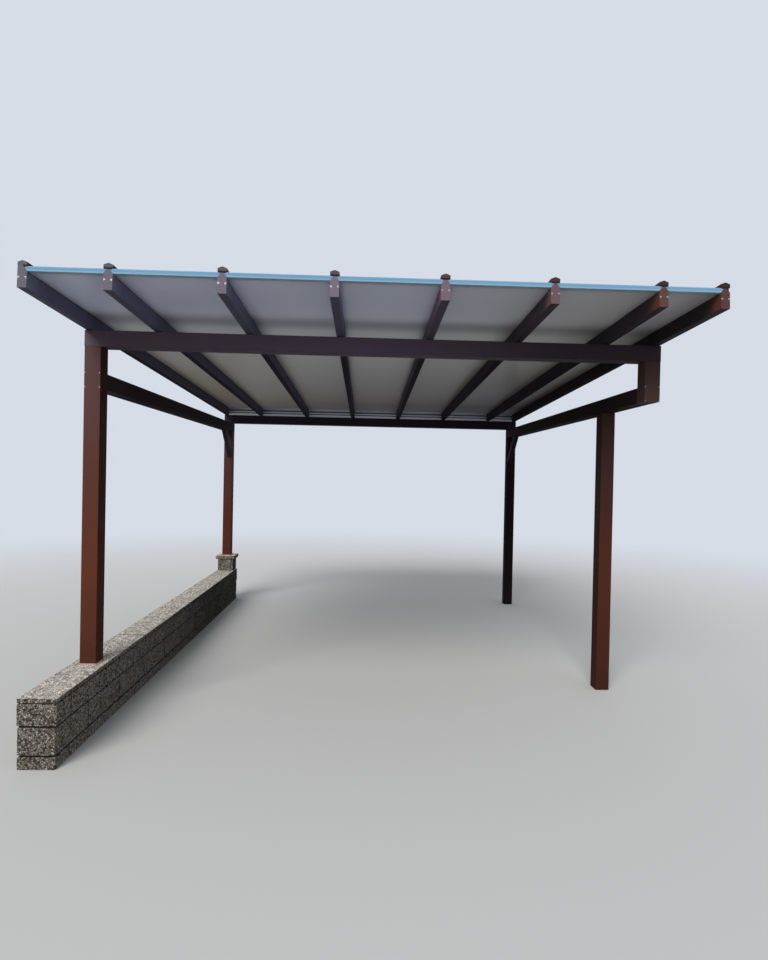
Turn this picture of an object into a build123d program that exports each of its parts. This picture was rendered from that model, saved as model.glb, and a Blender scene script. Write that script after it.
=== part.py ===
import os
from math import atan, cos, sin, sqrt, tan

from build123d import *

# Carport of square aluminium tubes with a clamped sheet roof that falls to the back.
# The left posts stand on a low masonry wall, and the right posts run down to the ground.
# X runs across to the right, Y runs from the open front to the back, Z is up.
# The origin is at ground level, in the middle of the carport's overall box.

# Square tube of the posts, the two beams and the two side rails
tube_size = 120.0
tube_wall = 3.0
tube_inner_corner = 2.0
foot_plate = 8.0
end_cap = 4.0
cap_clearance = 0.3

# Frame
headroom = 2485.0
front_rise = 185.0
post_spacing = 4150.0
right_post_setback = 770.0
overhang_front = 810.0
overhang_back = 100.0
brace_size = 60.0
brace_wall = 3.0
brace_reach = 385.0

# Roof bays, from the middle of one rafter to the middle of the next
left_bay = 500.0
bay_width = 672.0
full_bays = 5
right_bay = 385.0

# Rafter section
rafter_width = 55.0
rafter_height = 98.0
rafter_wall = 2.5
rafter_top_wall = 4.5
rafter_edge = 4.0
rafter_foot_radius = 2.0
neck_width = 16.0
screw_slot_width = 5.0
screw_slot_depth = 18.0
side_fin_wall = 2.5
seat_clearance = 0.3

# Sheets, their seals and their edge trims
sheet_thickness = 25.0
sheet_side_clearance = 4.0
lower_seal = 5.0
upper_seal = 10.0
seal_width = 8.0
seal_offset = 18.0
seal_groove_width = 4.0
seal_groove_depth = 2.0
seal_foot_clearance = 0.2
trim_wall = 1.6
trim_depth = 32.0
trim_clearance = 0.3

# Cover bar over each rafter
cover_width = 57.0
cover_side = 16.0
cover_rise = 11.0
cover_wall = 2.0
cover_lip = 2.0
cover_ridge_radius = 8.0

# Plates that close the rafters and the cover bars, and the rubber saddles between them
plate_thickness = 3.0
plate_apex = 18.0
shoulder_rise = 3.0
saddle_height = 12.0
saddle_lift = 4.0
saddle_clearance = 0.3

# Ribbed strips that close the bays above the back beam
strip_wall = 3.0
strip_side_clearance = 1.5
strip_setback = 16.0
foot_rib_height = 28.0
rib_gap = 16.0
middle_rib_height = 16.0
rib_depth = 10.0

# Low wall on the left, with the pier that carries the back post
wall_height = 450.0
wall_thickness = 250.0
wall_front_reach = 650.0
lower_course = 265.0
course_setback = 6.0
wall_edge = 8.0
pier_size = 220.0
pier_height = 170.0
cap_size = 270.0
cap_thickness = 50.0
cap_edge = 6.0

# Widths and heights that follow from the values above
tube_corner = tube_inner_corner + tube_wall
frame_width = left_bay + full_bays * bay_width + right_bay + rafter_width
cap_reach = (cap_size - tube_size) / 2
cover_reach = (cover_width - rafter_width) / 2
x_left = -(cap_reach + frame_width + cover_reach) / 2 + cap_reach
x_right = x_left + frame_width
rail_top = headroom + tube_size
front_beam_base = rail_top + front_rise
front_beam_top = front_beam_base + tube_size
back_beam_top = rail_top + tube_size
pitch = atan(front_rise / post_spacing)

# Heights in the roof section, measured square to the rafter's underside
sheet_base = rafter_height + lower_seal
sheet_top = sheet_base + sheet_thickness
cover_base = sheet_top + upper_seal
cover_eave = cover_base + cover_side
cover_ridge = cover_eave + cover_rise
plate_shoulder = rafter_height + shoulder_rise
plate_top = cover_base - saddle_height

# Places along Y, with the whole length centred on the origin
roof_run = overhang_front + post_spacing + tube_size + overhang_back
plate_run = plate_thickness * cos(pitch)
overall_length = roof_run + 2 * plate_run + cover_ridge * sin(pitch)
y_roof_front = -overall_length / 2 + plate_run
y_front = y_roof_front + overhang_front
y_back = y_front + post_spacing
y_roof_back = y_roof_front + roof_run
roof_length = roof_run / cos(pitch)


def rafter_base_at(y):
    """Height of the rafters' underside, which rests on the rear edges of both beams."""
    return front_beam_top + seat_clearance - (y - y_front - tube_size) * tan(pitch)


def roof_plane(x, along=0.0):
    """Section plane square to the rafters: X across, Y square to the slope, facing forwards."""
    origin = (
        x,
        y_roof_back - along * cos(pitch),
        rafter_base_at(y_roof_back) + along * sin(pitch),
    )
    return Plane(origin=origin, x_dir=(1, 0, 0), z_dir=(0, -cos(pitch), sin(pitch)))


os.makedirs("parts", exist_ok=True)


def save(solid, name):
    solid.label = name
    export_step(solid, f"parts/{name}.step")


# Posts: square tube welded to a foot plate of the same outline


def post_tube(x, y, base, top):
    with BuildPart() as post:
        with BuildSketch(Plane((x, y, base))):
            RectangleRounded(tube_size, tube_size, tube_corner)
        extrude(amount=top - base)
        with BuildSketch(Plane((x, y, base + foot_plate))):
            RectangleRounded(tube_size - 2 * tube_wall, tube_size - 2 * tube_wall, tube_inner_corner)
        extrude(amount=top - base - foot_plate, mode=Mode.SUBTRACT)
    return post.part


pier_top = wall_height + pier_height + cap_thickness
x_left_post = x_left + tube_size / 2
x_right_post = x_right - tube_size / 2
y_front_post = y_front + tube_size / 2
y_back_post = y_back + tube_size / 2
save(post_tube(x_left_post, y_front_post, wall_height, front_beam_base), "post_front_left")
save(post_tube(x_right_post, y_front_post + right_post_setback, 0, headroom), "post_front_right")
save(post_tube(x_left_post, y_back_post, pier_top, headroom), "post_back_left")
save(post_tube(x_right_post, y_back_post, 0, headroom), "post_back_right")


# Short post that carries the right end of the front beam on the right side rail
with BuildPart() as stub_post:
    with BuildSketch(Plane((x_right_post, y_front_post, headroom))):
        RectangleRounded(tube_size, tube_size, tube_corner)
        RectangleRounded(
            tube_size - 2 * tube_wall,
            tube_size - 2 * tube_wall,
            tube_inner_corner,
            mode=Mode.SUBTRACT,
        )
    extrude(amount=front_beam_base - headroom)
save(stub_post.part, "stub_post")


# Beams and side rails: plain lengths of the same tube


def level_tube(section_plane, length):
    with BuildPart() as tube:
        with BuildSketch(section_plane):
            RectangleRounded(tube_size, tube_size, tube_corner)
            RectangleRounded(
                tube_size - 2 * tube_wall,
                tube_size - 2 * tube_wall,
                tube_inner_corner,
                mode=Mode.SUBTRACT,
            )
        extrude(amount=length)
    return tube.part


def across(x, y, base):
    """Section plane of a tube that runs along X from this point."""
    return Plane(origin=(x, y, base + tube_size / 2), x_dir=(0, 1, 0), z_dir=(1, 0, 0))


def lengthwise(x, y, base):
    """Section plane of a tube that runs back along Y from this point."""
    return Plane(origin=(x, y, base + tube_size / 2), x_dir=(-1, 0, 0), z_dir=(0, 1, 0))


rail_length = post_spacing
rail_front = y_front + tube_size
save(level_tube(across(x_left, y_front_post, front_beam_base), frame_width), "front_beam")
save(level_tube(across(x_left, y_back_post, rail_top), frame_width), "back_beam")
save(level_tube(lengthwise(x_left_post, rail_front, headroom), rail_length), "side_rail_left")
save(level_tube(lengthwise(x_right_post, rail_front, headroom), rail_length), "side_rail_right")


# Plugs pressed into the open ends of the tubes, flush with them
plug_size = tube_size - 2 * tube_wall - 2 * cap_clearance
plug_planes = [
    across(x_left, y_front_post, front_beam_base),
    across(x_right - end_cap, y_front_post, front_beam_base),
    across(x_left, y_back_post, rail_top),
    across(x_right - end_cap, y_back_post, rail_top),
    lengthwise(x_left_post, y_back + tube_size - end_cap, headroom),
    lengthwise(x_right_post, y_back + tube_size - end_cap, headroom),
    Plane((x_right_post, y_front_post, headroom)),
]
with BuildPart() as tube_end_caps:
    for plug_plane in plug_planes:
        with BuildSketch(plug_plane):
            RectangleRounded(plug_size, plug_size, tube_inner_corner)
        extrude(amount=end_cap)
save(tube_end_caps.part, "tube_end_caps")


# Knee braces from the back posts up to the side rails, mitred at both ends and set to the inner side


def brace_plane(x):
    """Upright plane along Y, with its origin where the back post meets the underside of the rail."""
    return Plane(origin=(x, y_back, headroom), x_dir=(0, 1, 0), z_dir=(1, 0, 0))


def knee_brace(x):
    bar_run = brace_size * sqrt(2)
    wall_run = brace_wall * sqrt(2)
    with BuildPart() as brace:
        with BuildSketch(brace_plane(x - brace_size / 2)):
            with BuildLine():
                Polyline(
                    (-brace_reach, 0),
                    (bar_run - brace_reach, 0),
                    (0, bar_run - brace_reach),
                    (0, -brace_reach),
                    close=True,
                )
            make_face()
        extrude(amount=brace_size)
        with BuildSketch(brace_plane(x - brace_size / 2 + brace_wall)):
            with BuildLine():
                Polyline(
                    (wall_run - brace_reach, 0),
                    (bar_run - wall_run - brace_reach, 0),
                    (0, bar_run - wall_run - brace_reach),
                    (0, wall_run - brace_reach),
                    close=True,
                )
            make_face()
        extrude(amount=brace_size - 2 * brace_wall, mode=Mode.SUBTRACT)
    return brace.part


brace_shift = (tube_size - brace_size) / 2 - tube_corner
save(knee_brace(x_left_post + brace_shift), "brace_left")
save(knee_brace(x_right_post - brace_shift), "brace_right")


# Rafters: extruded box with chamfered upper edges, seal grooves and a slotted neck for the screws.
# The first one has a fin as well, which closes the roof's left side up to the cover bar.

rafter_x = [x_left + rafter_width / 2]
rafter_x.append(rafter_x[0] + left_bay)
for bay in range(full_bays):
    rafter_x.append(rafter_x[-1] + bay_width)
rafter_x.append(rafter_x[-1] + right_bay)


def rafter(x):
    half = rafter_width / 2
    side = rafter_height - rafter_edge
    chamber_top = rafter_height - rafter_top_wall
    with BuildPart() as bar:
        with BuildSketch(roof_plane(x)) as section:
            with BuildLine():
                Polyline(
                    (-half, 0),
                    (half, 0),
                    (half, side),
                    (half - rafter_edge, rafter_height),
                    (neck_width / 2, rafter_height),
                    (neck_width / 2, cover_base),
                    (-neck_width / 2, cover_base),
                    (-neck_width / 2, rafter_height),
                    (rafter_edge - half, rafter_height),
                    (-half, side),
                    close=True,
                )
            make_face()
            fillet(section.vertices().group_by(Axis.Y)[0], radius=rafter_foot_radius)
            with Locations((0, (rafter_wall + chamber_top) / 2)):
                Rectangle(
                    rafter_width - 2 * rafter_wall,
                    chamber_top - rafter_wall,
                    mode=Mode.SUBTRACT,
                )
            with Locations((0, cover_base - screw_slot_depth / 2)):
                Rectangle(screw_slot_width, screw_slot_depth, mode=Mode.SUBTRACT)
            with Locations(
                (-seal_offset, rafter_height - seal_groove_depth / 2),
                (seal_offset, rafter_height - seal_groove_depth / 2),
            ):
                Rectangle(seal_groove_width, seal_groove_depth, mode=Mode.SUBTRACT)
            if x == rafter_x[0]:
                fin_top = cover_base - cover_lip - seat_clearance
                with Locations(((side_fin_wall - rafter_width) / 2, (side + fin_top) / 2)):
                    Rectangle(side_fin_wall, fin_top - side)
        extrude(amount=roof_length)
    return bar.part


for number, x in enumerate(rafter_x, start=1):
    save(rafter(x), f"rafter_{number}")


# Cover bars: gabled hollow bar with drip lips, screwed down into the rafter's neck


def cover_outline(inset=0.0):
    """Corners of the gabled bar, drawn in by the inset."""
    half = cover_width / 2 - inset
    eave = cover_eave - inset
    ridge = cover_ridge - inset
    return [(-half, cover_base + inset), (half, cover_base + inset), (half, eave), (0, ridge), (-half, eave)]


def cover_bar(x):
    with BuildPart() as bar:
        with BuildSketch(roof_plane(x)) as section:
            with BuildLine():
                Polyline(*cover_outline(), close=True)
            make_face()
            fillet(section.vertices().group_by(Axis.Y)[-1], radius=cover_ridge_radius)
            with BuildLine():
                Polyline(*cover_outline(cover_wall), close=True)
            make_face(mode=Mode.SUBTRACT)
            lip_x = (cover_width - cover_wall) / 2
            with Locations((-lip_x, cover_base - cover_lip / 2), (lip_x, cover_base - cover_lip / 2)):
                Rectangle(cover_wall, cover_lip)
        extrude(amount=roof_length)
    return bar.part


for number, x in enumerate(rafter_x, start=1):
    save(cover_bar(x), f"cover_bar_{number}")


# Sheets: one in each bay, between the necks of two rafters
bays = list(zip(rafter_x[:-1], rafter_x[1:]))
sheet_set_in = trim_wall + trim_clearance


def sheet_width(x_start, x_end):
    return x_end - x_start - neck_width - 2 * sheet_side_clearance


for number, (x_start, x_end) in enumerate(bays, start=1):
    with BuildPart() as sheet:
        with BuildSketch(roof_plane((x_start + x_end) / 2, sheet_set_in)):
            with Locations((0, (sheet_base + sheet_top) / 2)):
                Rectangle(sheet_width(x_start, x_end), sheet_thickness)
        extrude(amount=roof_length - 2 * sheet_set_in)
    save(sheet.part, f"roof_sheet_{number}")


# Edge trims: a U of thin strip over the front and back ends of each sheet
trim_outer = sheet_thickness + 2 * (trim_clearance + trim_wall)
trim_inner = sheet_thickness + 2 * trim_clearance
with BuildPart() as sheet_edge_trims:
    for x_start, x_end in bays:
        for trim_start, slot_start in ((0, trim_wall), (roof_length - trim_depth, -trim_wall)):
            with BuildSketch(roof_plane((x_start + x_end) / 2, trim_start)):
                with Locations((0, (sheet_base + sheet_top) / 2)):
                    Rectangle(sheet_width(x_start, x_end), trim_outer)
            extrude(amount=trim_depth)
            with BuildSketch(roof_plane((x_start + x_end) / 2, trim_start + slot_start)):
                with Locations((0, (sheet_base + sheet_top) / 2)):
                    Rectangle(sheet_width(x_start, x_end), trim_inner)
            extrude(amount=trim_depth, mode=Mode.SUBTRACT)
save(sheet_edge_trims.part, "sheet_edge_trims")


# Seals: rubber strips under and over the sheets, the lower ones footed in the rafters' grooves.
# A tall one closes the roof's right side. At each end of a rafter a saddle of the same rubber
# closes the gap between its end plate and the cover bar's cap.
seal_foot_width = seal_groove_width - 2 * seal_foot_clearance
seal_foot_depth = seal_groove_depth - seal_foot_clearance
seal_start = trim_depth + trim_clearance
lower_seal_places = [
    (x, sheet_base, seal_start)
    for x_start, x_end in bays
    for x in (x_start + seal_offset, x_end - seal_offset)
]
lower_seal_places.append((rafter_x[-1] + seal_offset, cover_base, 0))
with BuildPart() as lower_seals:
    for x, seal_top, start in lower_seal_places:
        with BuildSketch(roof_plane(x, start)):
            with Locations((0, (rafter_height + seal_top) / 2)):
                Rectangle(seal_width, seal_top - rafter_height)
            with Locations((0, rafter_height - seal_foot_depth / 2)):
                Rectangle(seal_foot_width, seal_foot_depth)
        extrude(amount=roof_length - 2 * start)
    for x in rafter_x:
        half = rafter_width / 2
        flank = plate_top + saddle_lift
        crown = cover_base - saddle_clearance
        left_foot = [(-half, crown), (-half, flank), (-plate_apex / 2, plate_top + saddle_clearance)]
        right_foot = [(plate_apex / 2, plate_top + saddle_clearance), (half, flank), (half, crown)]
        if x == rafter_x[0]:
            left_foot = [(saddle_clearance, crown)]
            right_foot[0] = (plate_apex / 2 + saddle_clearance, plate_top + saddle_clearance)
        for saddle_start in (-plate_thickness, roof_length):
            with BuildSketch(roof_plane(x, saddle_start)):
                with BuildLine():
                    Polyline(*left_foot, *right_foot, close=True)
                make_face()
            extrude(amount=plate_thickness)
save(lower_seals.part, "lower_seals")

with BuildPart() as upper_seals:
    for x_start, x_end in bays:
        for x in (x_start + seal_offset, x_end - seal_offset):
            with BuildSketch(roof_plane(x, seal_start)):
                with Locations((0, (sheet_top + cover_base) / 2)):
                    Rectangle(seal_width, upper_seal)
            extrude(amount=roof_length - 2 * seal_start)
save(upper_seals.part, "upper_seals")


# End plates: each closes a rafter's end, with shoulders that slope in over the sheets' ends.
# The first rafter's plates run straight up on the left, in front of its fin.
with BuildPart() as rafter_end_plates:
    for x in rafter_x:
        half = rafter_width / 2
        left_side = [(-plate_apex / 2, plate_top), (-half, plate_shoulder), (-half, 0)]
        if x == rafter_x[0]:
            left_side = [(0, cover_base), (-half, cover_base), (-half, 0)]
        for plate_start in (-plate_thickness, roof_length):
            with BuildSketch(roof_plane(x, plate_start)) as outline:
                with BuildLine():
                    Polyline(
                        (half, 0),
                        (half, plate_shoulder),
                        (plate_apex / 2, plate_top),
                        *left_side,
                        close=True,
                    )
                make_face()
                fillet(outline.vertices().group_by(Axis.Y)[0], radius=rafter_foot_radius)
            extrude(amount=plate_thickness)
save(rafter_end_plates.part, "rafter_end_plates")

with BuildPart() as cover_end_caps:
    for x in rafter_x:
        for plate_start in (-plate_thickness, roof_length):
            with BuildSketch(roof_plane(x, plate_start)) as outline:
                with BuildLine():
                    Polyline(*cover_outline(), close=True)
                make_face()
                fillet(outline.vertices().group_by(Axis.Y)[-1], radius=cover_ridge_radius)
            extrude(amount=plate_thickness)
save(cover_end_caps.part, "cover_end_caps")


# Closing strips: ribbed profile on the back beam in each bay, from the beam up to the sheet
y_strip = y_back + strip_setback
strip_base = back_beam_top
strip_height = rafter_base_at(y_strip) + sheet_base / cos(pitch) - trim_clearance - strip_base
ribs = [(0, foot_rib_height), (foot_rib_height + rib_gap, middle_rib_height)]
with BuildPart() as rear_closing_strips:
    for x_start, x_end in bays:
        strip_width = x_end - x_start - rafter_width - 2 * strip_side_clearance
        with BuildSketch(Plane.YZ.offset((x_start + x_end - strip_width) / 2)):
            with Locations((y_strip - strip_wall / 2, strip_base + strip_height / 2)):
                Rectangle(strip_wall, strip_height)
            for rib_base, rib_height in ribs:
                rib_middle = strip_base + rib_base + rib_height / 2
                with Locations((y_strip - strip_wall - rib_depth / 2, rib_middle)):
                    Rectangle(rib_depth, rib_height)
        extrude(amount=strip_width)
save(rear_closing_strips.part, "rear_closing_strips")


# Low wall: two courses of masonry, the upper one a little proud, with a pier and cap at the back
x_wall = x_left_post
y_wall_front = y_front - wall_front_reach
y_wall_back = y_back_post + pier_size / 2
wall_length = y_wall_back - y_wall_front
y_wall = (y_wall_front + y_wall_back) / 2

with BuildPart() as wall_lower_course:
    with BuildSketch(Plane((x_wall, y_wall, 0))):
        Rectangle(wall_thickness - 2 * course_setback, wall_length)
    extrude(amount=lower_course)
save(wall_lower_course.part, "wall_lower_course")

with BuildPart() as wall_upper_course:
    with BuildSketch(Plane((x_wall, y_wall, lower_course))):
        Rectangle(wall_thickness, wall_length)
    extrude(amount=wall_height - lower_course)
    chamfer(wall_upper_course.faces().sort_by(Axis.Z)[-1].edges(), length=wall_edge)
save(wall_upper_course.part, "wall_upper_course")

with BuildPart() as rear_pier:
    with BuildSketch(Plane((x_wall, y_back_post, wall_height))):
        Rectangle(pier_size, pier_size)
    extrude(amount=pier_height)
save(rear_pier.part, "rear_pier")

with BuildPart() as pier_cap:
    with BuildSketch(Plane((x_wall, y_back_post, wall_height + pier_height))):
        Rectangle(cap_size, cap_size)
    extrude(amount=cap_thickness)
    chamfer(pier_cap.faces().sort_by(Axis.Z)[-1].edges(), length=cap_edge)
save(pier_cap.part, "pier_cap")
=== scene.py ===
"""A carport of red-brown powder-coated tube with a clamped sheet roof, on a low wall of aggregate blocks."""

import math

import bmesh
import bpy
from mathutils import Matrix, Vector, noise


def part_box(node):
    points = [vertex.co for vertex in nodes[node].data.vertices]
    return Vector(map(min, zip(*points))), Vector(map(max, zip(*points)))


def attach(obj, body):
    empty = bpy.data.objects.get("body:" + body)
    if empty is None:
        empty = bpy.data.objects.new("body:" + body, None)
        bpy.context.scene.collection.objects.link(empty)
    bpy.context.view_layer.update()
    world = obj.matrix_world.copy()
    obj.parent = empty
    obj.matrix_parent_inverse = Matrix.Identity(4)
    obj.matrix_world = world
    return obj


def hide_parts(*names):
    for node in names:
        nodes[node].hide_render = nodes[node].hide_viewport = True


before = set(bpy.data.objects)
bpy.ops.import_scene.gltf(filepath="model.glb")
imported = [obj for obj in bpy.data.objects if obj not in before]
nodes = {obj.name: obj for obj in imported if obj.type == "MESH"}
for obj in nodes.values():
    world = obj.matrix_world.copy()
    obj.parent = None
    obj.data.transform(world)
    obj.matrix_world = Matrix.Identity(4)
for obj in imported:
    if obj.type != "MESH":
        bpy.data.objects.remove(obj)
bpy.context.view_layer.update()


# Low wall. Courses of precast concrete blocks under a thin coping, cast with pebbles against the mould and
# washed out while green, so that the stones stand proud. They are laid half a block out of step on a sanded
# mortar that is raked back from the face. Of the lowest course only a low strip shows.
BLOCK_PITCH = 0.5
COPING_PITCH = 1.0
BED_JOINT = 0.010
END_JOINT = 0.009
COPING_JOINT = 0.005
BLOCK_ARRIS = 0.0045
BLOCK_GRID = 0.014
BLOCK_RELIEF = 0.0035
STONE_IN_GRIDS = 1.7
LUMP_SIZE = 0.09
FOOT_TOP = 0.08
COPING_BASE = 0.418
JOINT_IN_STEP = -2.255
JOINT_OUT_OF_STEP = JOINT_IN_STEP + BLOCK_PITCH / 2
MORTAR_RAKE = 0.011
MORTAR_ARRIS = 0.002
MORTAR_GRID = 0.06
MORTAR_RELIEF = 0.001

course_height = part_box("wall_lower_course")[1].z
wall_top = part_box("wall_upper_course")[1].z


def linear(hex_colour):
    """sRGB hex to the linear colour that a socket takes."""
    parts = [int(hex_colour[i:i + 2], 16) / 255 for i in (1, 3, 5)]
    return [c / 12.92 if c <= 0.04045 else ((c + 0.055) / 1.055) ** 2.4 for c in parts] + [1.0]


def add(tree, kind, inputs=None, **settings):
    """Adds a shader node with its settings. An input is a value, or the output that is linked to it."""
    made = tree.nodes.new("ShaderNode" + kind)
    for name, value in settings.items():
        setattr(made, name, value)
    for socket, value in (inputs or {}).items():
        if isinstance(value, bpy.types.NodeSocket):
            tree.links.new(value, made.inputs[socket])
        else:
            made.inputs[socket].default_value = value
    return made


def new_material(name):
    """An empty material, its tree, and the place on the object that its patterns read."""
    material = bpy.data.materials.new(name)
    material.use_nodes = True
    material.node_tree.nodes.clear()
    return material, material.node_tree, add(material.node_tree, "TexCoord").outputs["Object"]


def finish_piece(name, mesh_data, material, slot_name, *replaced):
    """Makes the bmesh an object of the carport, with its finish and the nodes it stands for."""
    mesh = bpy.data.meshes.new(name)
    mesh_data.to_mesh(mesh)
    mesh_data.free()
    mesh.materials.append(material)
    piece = bpy.data.objects.new(name, mesh)
    bpy.context.scene.collection.objects.link(piece)
    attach(piece, "root")
    if replaced:
        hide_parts(*replaced)


def lend(whole, part, place=None):
    """Moves a part's mesh into the whole's, at its place."""
    mesh = bpy.data.meshes.new("part")
    part.to_mesh(mesh)
    part.free()
    if place is not None:
        mesh.transform(place)
    whole.from_mesh(mesh)
    bpy.data.meshes.remove(mesh)


def cast_block(course, low, high, arris, grid, relief, seed):
    """Adds a cast block between two corners: worn arrises and a pebbly skin that stays within them."""
    size = Vector(high) - Vector(low)
    block = bmesh.new()
    bmesh.ops.create_cube(block, size=1.0)
    bmesh.ops.scale(block, vec=size, verts=block.verts)
    bmesh.ops.translate(block, vec=(Vector(high) + Vector(low)) / 2, verts=block.verts)
    bmesh.ops.bevel(
        block, geom=block.edges[:], offset=arris, offset_type="OFFSET", affect="EDGES",
        segments=2, profile=0.5, material=-1
    )
    for axis in range(3):
        along = [e for e in block.edges if abs(e.verts[0].co[axis] - e.verts[1].co[axis]) > size[axis] / 2]
        cuts = max(1, round(size[axis] / grid) - 1)
        bmesh.ops.subdivide_edges(block, edges=along, cuts=cuts, use_grid_fill=True)
    block.normal_update()
    # The three shares of the relief come to 1, so the skin lies no deeper than it and never outside the box.
    for v in block.verts:
        stone = noise.noise(v.co / (STONE_IN_GRIDS * grid) + Vector((seed, 0, 0)))
        lump = noise.noise(v.co / LUMP_SIZE + Vector((0, seed, 0)))
        v.co -= v.normal * relief * (0.5 + 0.38 * stone + 0.12 * lump)
    lend(course, block)


def wall_course(blocks, node, base, top, pitch, first_joint, gap, seed):
    """Adds one course between the node's ends: a joint at first_joint, and one each pitch after it."""
    low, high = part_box(node)
    joints = [low.y]
    joint = first_joint
    while joint < high.y - pitch / 4:
        joints.append(joint)
        joint += pitch
    joints.append(high.y)
    for number, (start, end) in enumerate(zip(joints, joints[1:])):
        front = start + (gap / 2 if start > low.y else 0)
        back = end - (gap / 2 if end < high.y else 0)
        cast_block(
            blocks, (low.x, front, base), (high.x, back, top), BLOCK_ARRIS, BLOCK_GRID, BLOCK_RELIEF,
            seed=10.0 * (seed + number)
        )


# Washed aggregate concrete: a grey cement matrix with rounded beige, brown, grey and white stones of about
# 13 mm, cast and then washed. It gives a dull speckled face, bright and spotted with lichen where rain has
# cleaned the top, and dark with damp on the sides. On the side towards the carport that darkening is dirt
# mixed with painted light near the open front and painted shade under the roof, heaviest at the back. FROM
# and AT are places, in metres from the floor's middle.
STONE_SIZE = 0.013
STONE_COLOURS = (
    (0.0, "#B5AA99"), (0.15, "#E3DBCC"), (0.3, "#7C7062"), (0.42, "#CDC4B4"), (0.55, "#F0EBE0"),
    (0.68, "#574E44"), (0.78, "#BDB2A1"), (0.9, "#FBF8F1"), (1.0, "#FBF8F1"),
)
STONE_HEIGHT = 0.004
GRIME_PATCH = 0.2
LEDGES_END = 0.02
TOP_STARTS = 0.01
INNER_FACE_FROM = -0.8
INNER_FACE_AT = -1.6
GRIME_AND_SHADE_THIN_AT = -1.5
GRIME_AND_SHADE_THICK_AT = 0.9
RAIN_BRIGHTENS = 1.65
CHALK_COLOUR = "#FFF6EB"
CHALK_MOST_AT = 0.3
CHALK_LEAST_AT = 2.2
LICHEN_COLOUR = "#5A5348"
LICHEN_PER_METRE = 26.0
CONCRETE_GLOSS = 0.1


def fill_ramp(colour_ramp, stops):
    """Gives a ramp its colours, each at its position, from 0 to 1."""
    colour_ramp.elements[0].color = linear(stops[0][1])
    colour_ramp.elements[-1].color = linear(stops[-1][1])
    for position, colour in stops[1:-1]:
        colour_ramp.elements.new(position).color = linear(colour)


def place_colour(tree, place, axis, stops):
    """The colours at given places along an axis, blended from one to the next."""
    spot = add(tree, "SeparateXYZ", {"Vector": place})
    start, end = stops[0][0], stops[-1][0]
    along = add(tree, "MapRange", {"Value": spot.outputs[axis], "From Min": start, "From Max": end})
    ramp = add(tree, "ValToRGB", {"Fac": along.outputs["Result"]})
    fill_ramp(ramp.color_ramp, [((where - start) / (end - start), colour) for where, colour in stops])
    return ramp.outputs["Color"]


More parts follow.
